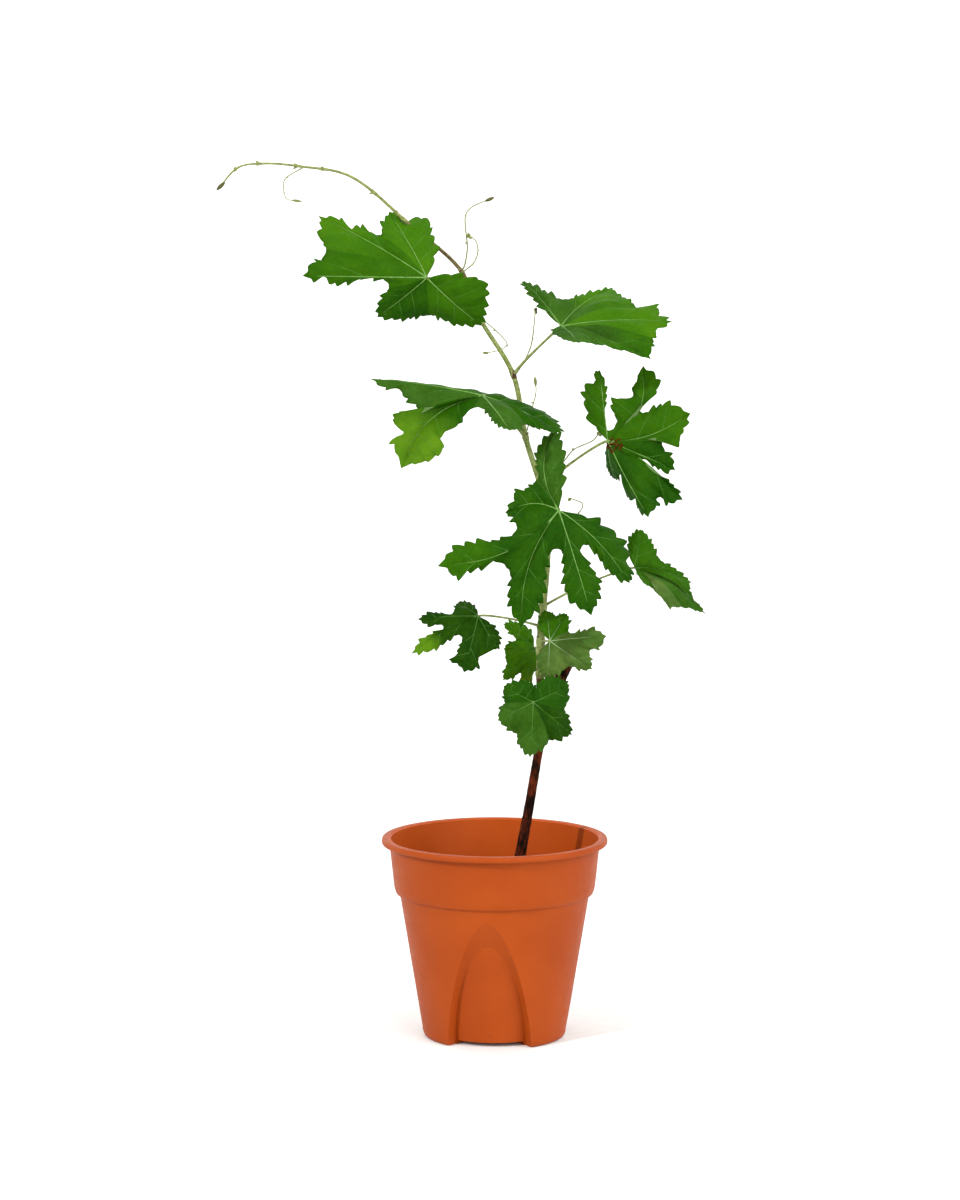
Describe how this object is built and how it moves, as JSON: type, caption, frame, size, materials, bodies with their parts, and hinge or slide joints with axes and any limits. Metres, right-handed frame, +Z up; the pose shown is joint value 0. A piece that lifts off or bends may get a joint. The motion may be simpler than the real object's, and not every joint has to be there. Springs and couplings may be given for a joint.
{
  "type": "potted grapevine",
  "caption": "Young grapevine in a tapered terracotta-coloured plastic nursery pot, with one woody cutting, an arching green shoot, lobed toothed leaves on stalks and curling tendrils.",
  "frame": {"origin": "middle of the pot's flat underside", "axes": "+Z up from the pot's base to the top of the shoot, +X to the picture's right, -Y towards its viewer"},
  "size_m": [0.3159, 0.15, 0.5767],
  "materials": {
    "pot": "satin",
    "soil": "matte",
    "cane": "matte",
    "shoot": "satin",
    "leaf": "satin",
    "tendril": "satin"
  },
  "bodies": {
    "root": {"pot": "pot", "soil": "soil", "cane": "cane", "shoot_1": "shoot", "shoot_2": "shoot", "shoot_3": "shoot", "shoot_4": "shoot", "shoot_5": "shoot", "leaf_1": "leaf", "leaf_2": "leaf", "leaf_3": "leaf", "leaf_4": "leaf", "leaf_5": "leaf", "leaf_6": "leaf", "leaf_7": "leaf", "leaf_8": "leaf", "leaf_9": "leaf", "leaf_10": "leaf", "tendril_1": "tendril", "tendril_2": "tendril", "tendril_3": "tendril", "tendril_4": "tendril", "tendril_5": "tendril", "tendril_6": "tendril", "tendril_7": "tendril", "tendril_8": "tendril"}
  },
  "joints": []
}
